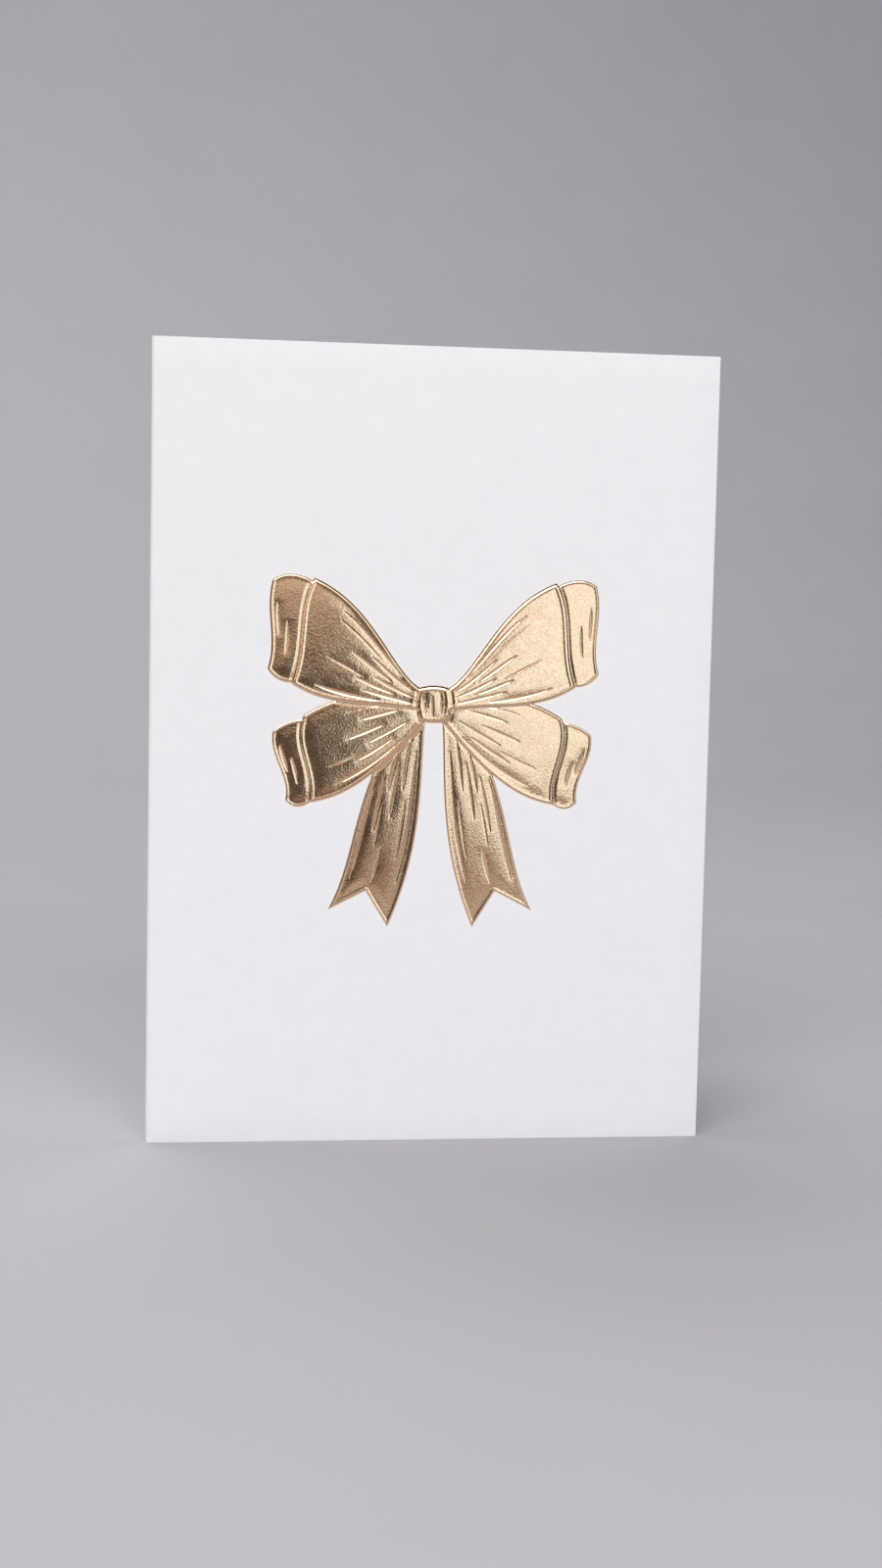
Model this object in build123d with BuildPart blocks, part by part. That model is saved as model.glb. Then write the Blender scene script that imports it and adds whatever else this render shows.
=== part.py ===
from build123d import *
from math import cos, radians, sin
import os

# A standing folded greeting card. Millimetres, +Z up, origin at the middle of the footprint on the table.
# The front leaf faces -Y, the upright fold is on the left and the back leaf swings away behind it.

# Card board: one sheet folded once to two A6 leaves
leaf_width = 105.0
leaf_height = 148.0
board_thickness = 0.50
opening_angle = 40.0

# Crease: a pressed channel outside the fold, and the bead that it pushes up inside
inner_bend_radius = 0.35
score_depth = 0.06
score_run = 0.55
bead_radius = 0.30
bead_set_back = 0.25

# Embossed bow: height of each ribbon layer above the front face
tail_level = 0.18
lower_mouth_level = 0.15
lower_loop_level = 0.26
upper_mouth_level = 0.22
upper_loop_level = 0.36
knot_level = 0.46
bevel_ratio = 0.85
root_depth = 0.10
bow_height = 82.5

# Fold lines pressed into the ribbon
fold_width = 0.46
fold_floor_width = 0.14
fold_depth = 0.12
fold_end_slope = 0.03

# Foil film over the bow
film_thickness = 0.05

# Ribbon edges of the right half of the bow, from the knot's centre: x to the right, y up.
# Each row is one curve, given by its two ends and the two handles between them.
upper_top = ((1.8, 2.6), (7.6, 4.6), (11.0, 18.4), (22.6, 22.9))
upper_end = ((22.6, 22.9), (26.0, 17.2), (23.8, 10.4), (26.6, 3.4))
upper_foot = ((26.6, 3.4), (19.0, -1.6), (10.6, 0.6), (1.8, -1.4))
upper_neck = ((1.8, -1.4), (1.8, 2.6))

upper_mouth_top = ((22.2, 21.9), (25.2, 23.8), (28.0, 24.0), (30.2, 22.4))
upper_mouth_side = ((30.2, 22.4), (31.8, 16.6), (29.2, 11.8), (31.0, 6.0))
upper_mouth_lip = ((31.0, 6.0), (29.6, 3.8), (27.4, 3.2), (25.2, 3.8))
upper_mouth_back = ((25.2, 3.8), (21.8, 10.0), (21.6, 16.0), (22.2, 21.9))

lower_top = ((1.6, 1.2), (9.0, 2.4), (17.4, 2.2), (24.2, -2.4))
lower_end = ((24.2, -2.4), (26.4, -8.2), (21.8, -12.6), (23.0, -18.6))
lower_foot = ((23.0, -18.6), (14.6, -17.6), (8.2, -10.8), (1.6, -3.0))
lower_neck = ((1.6, -3.0), (1.6, 1.2))

lower_mouth_top = ((23.2, -3.0), (25.6, -3.2), (27.8, -3.6), (29.8, -5.4))
lower_mouth_side = ((29.8, -5.4), (30.8, -10.0), (26.4, -13.6), (27.4, -18.2))
lower_mouth_lip = ((27.4, -18.2), (26.0, -19.8), (24.0, -19.8), (22.2, -18.0))
lower_mouth_back = ((22.2, -18.0), (20.4, -13.0), (23.0, -8.0), (23.2, -3.0))

tail_inner = ((1.2, 0.8), (2.8, -11.0), (0.4, -24.6), (8.0, -41.8))
tail_notch_in = ((8.0, -41.8), (12.2, -35.0))
tail_notch_out = ((12.2, -35.0), (19.2, -38.6))
tail_outer = ((19.2, -38.6), (13.6, -28.0), (15.8, -18.4), (4.8, 0.4))
tail_neck = ((4.8, 0.4), (1.2, 0.8))

knot_top = ((-2.6, 3.1), (-1.1, 3.6), (1.1, 3.6), (2.6, 3.1))
knot_right = ((2.6, 3.1), (3.4, 1.1), (3.4, -1.3), (2.6, -3.2))
knot_foot = ((2.6, -3.2), (1.1, -3.7), (-1.1, -3.7), (-2.6, -3.2))
knot_left = ((-2.6, -3.2), (-3.4, -1.3), (-3.4, 1.1), (-2.6, 3.1))

upper_edges = (upper_top, upper_end, upper_foot, upper_neck)
upper_mouth_edges = (upper_mouth_top, upper_mouth_side, upper_mouth_lip, upper_mouth_back)
lower_edges = (lower_top, lower_end, lower_foot, lower_neck)
lower_mouth_edges = (lower_mouth_top, lower_mouth_side, lower_mouth_lip, lower_mouth_back)
tail_edges = (tail_inner, tail_notch_in, tail_notch_out, tail_outer, tail_neck)
knot_edges = (knot_top, knot_right, knot_foot, knot_left)

# Folds of each ribbon: place across it (0 first edge, 1 second edge), then start and end along it
upper_folds = (
    (0.13, 0.22, 0.80),
    (0.30, 0.10, 0.52),
    (0.42, 0.30, 0.66),
    (0.53, 0.09, 0.46),
    (0.66, 0.24, 0.58),
    (0.78, 0.10, 0.50),
    (0.90, 0.34, 0.84),
)
lower_folds = (
    (0.30, 0.20, 0.56),
    (0.46, 0.34, 0.68),
    (0.60, 0.14, 0.52),
    (0.74, 0.26, 0.62),
    (0.88, 0.18, 0.80),
)
tail_folds = (
    (0.14, 0.24, 0.84),
    (0.32, 0.14, 0.42),
    (0.46, 0.26, 0.54),
    (0.58, 0.16, 0.40),
    (0.70, 0.30, 0.58),
    (0.52, 0.66, 0.84),
    (0.87, 0.30, 0.82),
)
mouth_folds = ((0.18, 0.22, 0.62), (0.38, 0.42, 0.80))
knot_folds = ((0.30, 0.12, 0.80), (0.56, 0.22, 0.90), (0.80, 0.14, 0.66))

# Derived sizes
leaf_turn = radians(opening_angle)
half_opening = leaf_turn / 2
outer_bend_radius = inner_bend_radius + board_thickness - score_depth
face_radius = inner_bend_radius + board_thickness
bend_x = outer_bend_radius - leaf_width / 2
leaf_flat = leaf_width / 2 - bend_x
relief_height = knot_level + film_thickness
depth = relief_height + face_radius + leaf_flat * sin(leaf_turn) + face_radius * cos(leaf_turn)
front_face = relief_height - depth / 2
bend_y = front_face + face_radius
bend_center = (bend_x, bend_y)
bend_inside = (
    bend_x - inner_bend_radius * cos(half_opening),
    bend_y - inner_bend_radius * sin(half_opening),
)
bead_center = (
    bend_x - bead_set_back * cos(half_opening),
    bend_y - bead_set_back * sin(half_opening),
)
fold_bisector = Plane(origin=(bend_x, bend_y, 0), z_dir=(-sin(half_opening), cos(half_opening), 0))
front_plane = Plane(origin=(0, front_face, bow_height), x_dir=(1, 0, 0), z_dir=(0, -1, 0))


def curve_point(handles, t):
    """Point of a curve given by four handles, at t from 0 to 1."""
    weights = ((1 - t) ** 3, 3 * t * (1 - t) ** 2, 3 * t * t * (1 - t), t**3)
    return Vector(
        sum(w * h[0] for w, h in zip(weights, handles)),
        sum(w * h[1] for w, h in zip(weights, handles)),
    )


def ribbon_point(first_edge, second_edge, across, along):
    """Point of a ribbon whose first edge runs out from the knot and whose second edge runs back to it."""
    near = curve_point(first_edge, along)
    far = curve_point(second_edge, 1 - along)
    return near * (1 - across) + far * across


def outline(edges):
    """Closed outline from straight and curved edges."""
    with BuildSketch() as shape:
        with BuildLine():
            for edge in edges:
                if len(edge) == 2:
                    Line(*edge)
                else:
                    Bezier(*edge)
        make_face()
    return shape.sketch


def fold_outline(first_edge, second_edge, across, start, end, width):
    """Slender pointed leaf that follows the ribbon's run."""
    stations = [start + (end - start) * k / 3 for k in range(4)]
    spine = [ribbon_point(first_edge, second_edge, across, along) for along in stations]
    side = (spine[2] - spine[1]).normalized().rotate(Axis.Z, 90) * (width / 2)
    with BuildSketch() as shape:
        with BuildLine():
            Spline(spine[0], spine[1] + side, spine[2] + side, spine[3])
            Spline(spine[3], spine[2] - side, spine[1] - side, spine[0])
        make_face()
    return shape.sketch


def ribbon_layer(edges, level, first_edge, second_edge, folds):
    """One flat ribbon layer with a bevelled rim, and its folds pressed in from the top."""
    with BuildPart() as layer:
        with BuildSketch(Plane.XY.offset(-root_depth)):
            add(outline(edges))
        extrude(amount=root_depth + level)
        rim = layer.faces().sort_by(Axis.Z)[-1].outer_wire().edges()
        chamfer(rim, length=level, length2=level * bevel_ratio)
        for across, start, end in folds:
            floor_start = start + fold_end_slope
            floor_end = end - fold_end_slope
            with BuildSketch(Plane.XY.offset(level)):
                add(fold_outline(first_edge, second_edge, across, start, end, fold_width))
            with BuildSketch(Plane.XY.offset(level - fold_depth)):
                add(fold_outline(first_edge, second_edge, across, floor_start, floor_end, fold_floor_width))
            loft(ruled=True, mode=Mode.SUBTRACT)
    return layer.part


def bow(in_upper, in_lower, in_tail, in_mouth, in_knot):
    """Whole raised bow with the given folds: two mirrored halves, and the knot on top."""
    with BuildPart() as relief:
        add(ribbon_layer(tail_edges, tail_level, tail_inner, tail_outer, in_tail))
        add(ribbon_layer(lower_mouth_edges, lower_mouth_level, lower_mouth_side, lower_mouth_back, in_mouth))
        add(ribbon_layer(lower_edges, lower_loop_level, lower_top, lower_foot, in_lower))
        add(ribbon_layer(upper_mouth_edges, upper_mouth_level, upper_mouth_side, upper_mouth_back, in_mouth))
        add(ribbon_layer(upper_edges, upper_loop_level, upper_top, upper_foot, in_upper))
        mirror(about=Plane.YZ)
        add(ribbon_layer(knot_edges, knot_level, knot_right, knot_left, in_knot))
    return relief.part


os.makedirs("parts", exist_ok=True)

# The bow as the die shapes it, drawn flat
bow_with_folds = bow(upper_folds, lower_folds, tail_folds, mouth_folds, knot_folds)
bow_without_folds = bow((), (), (), (), ())

# The folded sheet with the bow raised on its front face
with BuildPart() as raised_card:
    with BuildSketch():
        with BuildLine():
            Line((bend_x + score_run, front_face), (leaf_width / 2, front_face))
            Line((leaf_width / 2, front_face), (leaf_width / 2, front_face + board_thickness))
            Line((leaf_width / 2, front_face + board_thickness), (bend_x, front_face + board_thickness))
            CenterArc(bend_center, inner_bend_radius, -90, opening_angle / 2 - 90)
            PolarLine(bend_inside, board_thickness - score_depth, 180 + opening_angle / 2)
            CenterArc(bend_center, outer_bend_radius, 180 + opening_angle / 2, 90 - opening_angle / 2)
            Line((bend_x, front_face + score_depth), (bend_x + score_run, front_face))
        make_face()
        mirror(about=fold_bisector)
        with Locations(bead_center):
            Circle(bead_radius)
    extrude(amount=leaf_height)
    with Locations(front_plane):
        add(bow_with_folds)

# The card keeps its thickness under the die, so the bow is sunk in the reverse of the front leaf,
# where the shallow folds no longer show
with BuildPart() as folded_card:
    add(raised_card.part)
    with Locations(front_plane.offset(-board_thickness)):
        add(bow_without_folds, mode=Mode.SUBTRACT)

# The foil film that the die lays over the raised bow
with BuildPart() as bow_foil:
    with Locations(front_plane.offset(film_thickness)):
        add(bow_with_folds)
    add(raised_card.part, mode=Mode.SUBTRACT)

folded_card.part.label = "folded_card"
bow_foil.part.label = "bow_foil"

export_step(folded_card.part, "parts/folded_card.step")
export_step(bow_foil.part, "parts/bow_foil.step")
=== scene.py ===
"""Greeting card: one folded sheet of white board with an embossed ribbon bow in champagne-gold foil.

The board and the foil are meshed finely over the frame's two pieces and shown on a pale studio floor.
Shapes are worked out in millimetres in the frame's own axes and turned to metres as each mesh is made.
"""

import logging
import math
from dataclasses import dataclass, field
from enum import Enum

import bpy
import numpy as np
from mathutils import Matrix, Vector
from mathutils.geometry import delaunay_2d_cdt


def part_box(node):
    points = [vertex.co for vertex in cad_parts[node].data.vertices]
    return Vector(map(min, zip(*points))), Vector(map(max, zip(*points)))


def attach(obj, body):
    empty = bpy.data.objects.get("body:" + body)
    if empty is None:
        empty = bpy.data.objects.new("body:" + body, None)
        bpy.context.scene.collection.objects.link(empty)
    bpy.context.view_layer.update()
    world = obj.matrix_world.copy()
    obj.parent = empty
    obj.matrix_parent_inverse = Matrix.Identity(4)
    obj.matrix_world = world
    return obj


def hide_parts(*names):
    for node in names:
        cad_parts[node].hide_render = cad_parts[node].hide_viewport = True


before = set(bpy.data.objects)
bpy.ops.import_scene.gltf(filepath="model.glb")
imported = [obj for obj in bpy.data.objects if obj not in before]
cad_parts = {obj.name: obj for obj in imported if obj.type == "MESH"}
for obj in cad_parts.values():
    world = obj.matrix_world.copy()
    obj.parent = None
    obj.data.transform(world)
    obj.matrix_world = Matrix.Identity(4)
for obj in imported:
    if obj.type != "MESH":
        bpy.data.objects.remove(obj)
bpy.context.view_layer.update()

MM = 0.001
# Points worked on at a time, so that the tables of distances stay small.
BLOCK = 2048
# Points closer than this are one point in a triangulation, in millimetres.
MERGE_DISTANCE = 1e-7
# Triangles with a doubled area below this are left out, in square millimetres.
SLIVER_AREA = 1e-9
# Least squared length of a run, so that a run without length divides nothing by zero.
LEAST_SQUARE = 1e-12
# Sockets of a colour mix node by number, because its names stand for its other kinds too.
MIX_SHARE, MIX_FROM, MIX_TO, MIX_RESULT = 0, 6, 7, 2
LOG = logging.getLogger("greeting_card")

Place = tuple[float, float, float]
# Where a fold lies: its share of the way across the ribbon, and its start and end along it.
FoldPlace = tuple[float, float, float]
# The ends of a ribbon's edge in millimetres, with the two handles of its curve between them.
Handles = tuple[tuple[float, float], ...]


def linear(hex_colour: str) -> tuple[float, float, float, float]:
    """Turns an sRGB hex colour into linear values with full alpha.

    Args:
        hex_colour: colour such as "#F1D5AF".

    Returns:
        Red, green, blue and alpha, linear.
    """
    channels = [int(hex_colour[i:i + 2], 16) / 255 for i in (1, 3, 5)]
    # The numbers are those of the sRGB standard.
    decoded = [c / 12.92 if c <= 0.04045 else ((c + 0.055) / 1.055) ** 2.4 for c in channels]
    return decoded[0], decoded[1], decoded[2], 1.0


def ramp(x: np.ndarray) -> np.ndarray:
    """Smooth rise from 0 to 1 as x goes from 0 to 1."""
    t = np.clip(x, 0.0, 1.0)
    return t * t * (3.0 - 2.0 * t)


def curve_points(handles: Handles, along: np.ndarray) -> np.ndarray:
    """Points of one edge of a ribbon.

    Args:
        handles: two ends of a straight edge, or two ends and the two handles between them.
        along: places on the edge, from 0 to 1.

    Returns:
        One row of x and y for each place.
    """
    h = np.array(handles, float)
    t = np.asarray(along, float)[:, None]
    if len(h) == 2:
        return h[0] * (1 - t) + h[1] * t
    return h[0] * (1 - t) ** 3 + h[1] * 3 * t * (1 - t) ** 2 + h[2] * 3 * t * t * (1 - t) + h[3] * t ** 3


def left_of(ahead: np.ndarray) -> np.ndarray:
    """Unit directions at a right angle to the given ones, on their left."""
    unit = ahead / np.linalg.norm(ahead, axis=1)[:, None]
    return np.column_stack((-unit[:, 1], unit[:, 0]))


def nearest_on_chain(points: np.ndarray, chain: np.ndarray) -> tuple[np.ndarray, np.ndarray]:
    """Distance from each point to a chain of straight runs, and where on the chain it is nearest.

    Args:
        points: rows of x and y.
        chain: the chain's corners in order.

    Returns:
        Distances, and places along the chain from 0 to 1.
    """
    starts = chain[:-1]
    runs = np.diff(chain, axis=0)
    squares = np.maximum((runs ** 2).sum(axis=1), LEAST_SQUARE)
    best = np.zeros(len(points))
    place = np.zeros(len(points))
    for first in range(0, len(points), BLOCK):
        block = slice(first, first + BLOCK)
        away = points[block, None, :] - starts
        t = np.clip((away * runs).sum(axis=2) / squares, 0.0, 1.0)
        gap = np.hypot(away[..., 0] - t * runs[:, 0], away[..., 1] - t * runs[:, 1])
        nearest = gap.argmin(axis=1)
        rows = np.arange(len(nearest))
        best[block] = gap[rows, nearest]
        place[block] = (nearest + t[rows, nearest]) / len(runs)
    return best, place


def inside_loop(points: np.ndarray, loop: np.ndarray) -> np.ndarray:
    """Tells which points lie inside a closed loop.

    Args:
        points: rows of x and y.
        loop: the loop's corners, the last joined to the first.

    Returns:
        True for each point inside.
    """
    ends = np.roll(loop, -1, axis=0)
    level = loop[:, 1] == ends[:, 1]
    rise = np.where(level, 1.0, ends[:, 1] - loop[:, 1])
    inside = np.zeros(len(points), bool)
    for first in range(0, len(points), BLOCK):
        block = slice(first, first + BLOCK)
        x, y = points[block, 0, None], points[block, 1, None]
        spans = (loop[:, 1] > y) != (ends[:, 1] > y)
        crossing = loop[:, 0] + (ends[:, 0] - loop[:, 0]) * (y - loop[:, 1]) / rise
        inside[block] = np.count_nonzero(spans & (x < crossing), axis=1) % 2 == 1
    return inside


class Layer(Enum):
    """Ribbon layers of the bow, in the order in which they lie on each other."""

    LOWER_MOUTH = "lower_mouth"
    TAIL = "tail"
    UPPER_MOUTH = "upper_mouth"
    LOWER_LOOP = "lower_loop"
    UPPER_LOOP = "upper_loop"
    KNOT = "knot"


@dataclass(frozen=True)
class Fold:
    """A fold line pressed into a ribbon, by its place across the ribbon and its two ends along it.

    A narrow groove lies in the middle of a wide, shallow valley. Both fade out towards the ends, where the
    groove still has the end share of its width.
    """

    across: float
    start: float
    end: float
    half_width: float = 0.25
    depth: float = 0.12
    valley_half_width: float = 1.0
    valley_depth: float = 0.035
    end_share: float = 0.35

    def fade(self, place: np.ndarray) -> np.ndarray:
        """Share of the full depth at places along the fold: 1 in the middle, 0 at both ends."""
        return np.sqrt(np.clip(np.sin(np.pi * place), 0.0, 1.0))

    def groove_half_width(self, fade: np.ndarray) -> np.ndarray:
        """Half width of the groove where the fold has faded to the given share."""
        return self.half_width * (self.end_share + (1 - self.end_share) * fade)

    def press(self, gap: np.ndarray, place: np.ndarray) -> np.ndarray:
        """Depth to which the fold presses the ribbon down.

        Args:
            gap: distance of each point from the fold's line.
            place: its nearest place along the fold, from 0 to 1.

        Returns:
            Depths in millimetres.
        """
        fade = self.fade(place)
        reach = np.clip(gap / self.groove_half_width(fade), 0.0, 1.0)
        groove = self.depth * fade * (1 - reach ** 2) ** 2
        valley = self.valley_depth * fade * np.exp(-(gap / self.valley_half_width) ** 2)
        return groove + valley


@dataclass
class Ribbon:
    """One layer of ribbon, flat on the die, in millimetres from the knot's centre.

    Its level is the height of its top above the card, and its folds run between its first and second edge.
    """

    layer: Layer
    level: float
    edges: tuple[Handles, ...]
    first_edge: Handles
    second_edge: Handles
    folds: tuple[Fold, ...]
    swell: float = 0.05
    swell_run: float = 2.6
    lip: float = 0.05
    lip_run: float = 0.42
    wall_ratio: float = 1.5
    # Depths inside and outside the outline are worked out within this distance of the ribbon's box.
    reach: float = 3.0
    edge_step: float = 0.32
    edge_samples: int = 60
    # A row beside the outline drops the points that are off its distance by more than this share of it.
    row_slack: float = 0.2
    fold_step: float = 0.28
    fold_samples: int = 24
    # Lines drawn along a fold, as shares of the groove's half width.
    fold_shares: tuple[float, ...] = (0.0, -0.5, 0.5, -1.0, 1.0, -1.9, 1.9)
    # A valley is followed out to this many times its half width.
    valley_reach: float = 3.0
    loop: np.ndarray = field(init=False, repr=False)

    def __post_init__(self) -> None:
        """Samples the closed outline evenly."""
        samples = np.linspace(0, 1, self.edge_samples)
        pieces = []
        for handles in self.edges:
            rough = curve_points(handles, samples)
            lengths = np.concatenate(([0.0], np.cumsum(np.hypot(*np.diff(rough, axis=0).T))))
            steps = max(2, round(lengths[-1] / self.edge_step))
            even = np.interp(np.arange(steps) / steps * lengths[-1], lengths, samples)
            pieces.append(curve_points(handles, even))
        self.loop = np.concatenate(pieces)

    @property
    def wall_run(self) -> float:
        """Width of the sloping wall along the outline."""
        return self.wall_ratio * self.level

    @property
    def sides(self) -> tuple[float, ...]:
        """Signs of x where the ribbon lies: the knot is one piece across the middle, the others are pairs."""
        return (1.0,) if self.layer is Layer.KNOT else (1.0, -1.0)

    def nearby(self, points: np.ndarray) -> np.ndarray:
        """Tells which points lie within the reach of the ribbon's box."""
        low, high = self.loop.min(0) - self.reach, self.loop.max(0) + self.reach
        return ((points > low) & (points < high)).all(1)

    def contains(self, points: np.ndarray) -> np.ndarray:
        """Tells which points lie inside the outline.

        Args:
            points: rows of x and y.

        Returns:
            True for each point inside.
        """
        inside = self.nearby(points)
        inside[inside] = inside_loop(points[inside], self.loop)
        return inside

    def depth_inside(self, points: np.ndarray) -> np.ndarray:
        """Distance of points from the outline.

        Args:
            points: rows of x and y.

        Returns:
            Distances, positive inside, negative outside and there no further than the reach.
        """
        near = self.nearby(points)
        depth = np.full(len(points), -self.reach)
        closed = np.vstack((self.loop, self.loop[:1]))
        gap, _ = nearest_on_chain(points[near], closed)
        depth[near] = np.where(inside_loop(points[near], self.loop), gap, -gap)
        return depth

    def spine(self, fold: Fold) -> np.ndarray:
        """Centre line of a fold, which follows the ribbon's run.

        Args:
            fold: the fold's place on the ribbon.

        Returns:
            Points along the fold, evenly spaced in the ribbon's own run.
        """
        along = np.linspace(fold.start, fold.end, self.fold_samples)
        near = curve_points(self.first_edge, along)
        far = curve_points(self.second_edge, 1 - along)
        return near * (1 - fold.across) + far * fold.across

    def crown(self, points: np.ndarray, inside: np.ndarray, folded: bool) -> np.ndarray:
        """Height of the ribbon's own top above the card, before its rim falls away.

        Args:
            points: rows of x and y.
            inside: each point's distance inside the outline.
            folded: whether the fold lines are pressed in.

        Returns:
            Heights in millimetres.
        """
        past_wall = inside - self.wall_run
        lip = self.lip * (1.0 - ramp(past_wall / self.lip_run))
        top = self.level + self.swell * (ramp(past_wall / self.swell_run) - 1.0) + lip
        for fold in self.folds if folded else ():
            spine = self.spine(fold)
            margin = self.valley_reach * fold.valley_half_width
            box = (points > spine.min(0) - margin).all(1) & (points < spine.max(0) + margin).all(1)
            if box.any():
                top[box] -= fold.press(*nearest_on_chain(points[box], spine))
        return top

    def offset_row(self, inset: float) -> np.ndarray:
        """Row of points that runs along the outline at an even distance inside it.

        Args:
            inset: distance inside the outline, negative outside.

        Returns:
            The points that are really that far from the outline.
        """
        x, y = self.loop.T
        turns_left = np.sum(x * np.roll(y, -1) - np.roll(x, -1) * y) > 0
        ahead = np.roll(self.loop, -1, axis=0) - np.roll(self.loop, 1, axis=0)
        row = self.loop + (inset if turns_left else -inset) * left_of(ahead)
        return row[np.abs(self.depth_inside(row) - inset) < self.row_slack * abs(inset)]

    def fold_rows(self) -> list[np.ndarray]:
        """Rows of points along each fold: its floor, its walls and its two shoulders.

        Returns:
            The rows, each of x and y.
        """
        rows = []
        for fold in self.folds:
            spine = self.spine(fold)
            length = np.sum(np.hypot(*np.diff(spine, axis=0).T))
            steps = max(4, round(length / self.fold_step))
            places = np.linspace(0, 1, steps + 1)
            ticks = np.linspace(0, 1, len(spine))
            line = np.column_stack([np.interp(places, ticks, spine[:, i]) for i in (0, 1)])
            side = left_of(np.gradient(line, axis=0))
            width = fold.groove_half_width(fold.fade(places))
            rows += [line + side * (share * width)[:, None] for share in self.fold_shares]
        return rows


# Ribbon edges of the right half of the bow, in millimetres from the knot's centre: x to the right, y up.
UPPER_TOP = ((1.8, 2.6), (7.6, 4.6), (11.0, 18.4), (22.6, 22.9))
UPPER_END = ((22.6, 22.9), (26.0, 17.2), (23.8, 10.4), (26.6, 3.4))
UPPER_FOOT = ((26.6, 3.4), (19.0, -1.6), (10.6, 0.6), (1.8, -1.4))
UPPER_NECK = ((1.8, -1.4), (1.8, 2.6))

UPPER_MOUTH_TOP = ((22.2, 21.9), (25.2, 23.8), (28.0, 24.0), (30.2, 22.4))
UPPER_MOUTH_SIDE = ((30.2, 22.4), (31.8, 16.6), (29.2, 11.8), (31.0, 6.0))
UPPER_MOUTH_LIP = ((31.0, 6.0), (29.6, 3.8), (27.4, 3.2), (25.2, 3.8))
UPPER_MOUTH_BACK = ((25.2, 3.8), (21.8, 10.0), (21.6, 16.0), (22.2, 21.9))

LOWER_TOP = ((1.6, 1.2), (9.0, 2.4), (17.4, 2.2), (24.2, -2.4))
LOWER_END = ((24.2, -2.4), (26.4, -8.2), (21.8, -12.6), (23.0, -18.6))
LOWER_FOOT = ((23.0, -18.6), (14.6, -17.6), (8.2, -10.8), (1.6, -3.0))
LOWER_NECK = ((1.6, -3.0), (1.6, 1.2))

LOWER_MOUTH_TOP = ((23.2, -3.0), (25.6, -3.2), (27.8, -3.6), (29.8, -5.4))
LOWER_MOUTH_SIDE = ((29.8, -5.4), (30.8, -10.0), (26.4, -13.6), (27.4, -18.2))
LOWER_MOUTH_LIP = ((27.4, -18.2), (26.0, -19.8), (24.0, -19.8), (22.2, -18.0))
LOWER_MOUTH_BACK = ((22.2, -18.0), (20.4, -13.0), (23.0, -8.0), (23.2, -3.0))

TAIL_INNER = ((1.2, 0.8), (2.8, -11.0), (0.4, -24.6), (8.0, -41.8))
TAIL_NOTCH_IN = ((8.0, -41.8), (12.2, -35.0))
TAIL_NOTCH_OUT = ((12.2, -35.0), (19.2, -38.6))
TAIL_OUTER = ((19.2, -38.6), (13.6, -28.0), (15.8, -18.4), (4.8, 0.4))
TAIL_NECK = ((4.8, 0.4), (1.2, 0.8))

KNOT_TOP = ((-2.6, 3.1), (-1.1, 3.6), (1.1, 3.6), (2.6, 3.1))
KNOT_RIGHT = ((2.6, 3.1), (3.4, 1.1), (3.4, -1.3), (2.6, -3.2))
KNOT_FOOT = ((2.6, -3.2), (1.1, -3.7), (-1.1, -3.7), (-2.6, -3.2))
KNOT_LEFT = ((-2.6, -3.2), (-3.4, -1.3), (-3.4, 1.1), (-2.6, 3.1))


def folds_at(*places: FoldPlace) -> tuple[Fold, ...]:
    """Folds of one ribbon from their places."""
    return tuple(Fold(*place) for place in places)


def creases_at(*places: FoldPlace) -> tuple[Fold, ...]:
    """Finer, shallower creases between the folds, from their places."""
    fine = {"half_width": 0.19, "depth": 0.05, "valley_half_width": 0.7, "valley_depth": 0.015}
    return tuple(Fold(*place, **fine) for place in places)


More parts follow.
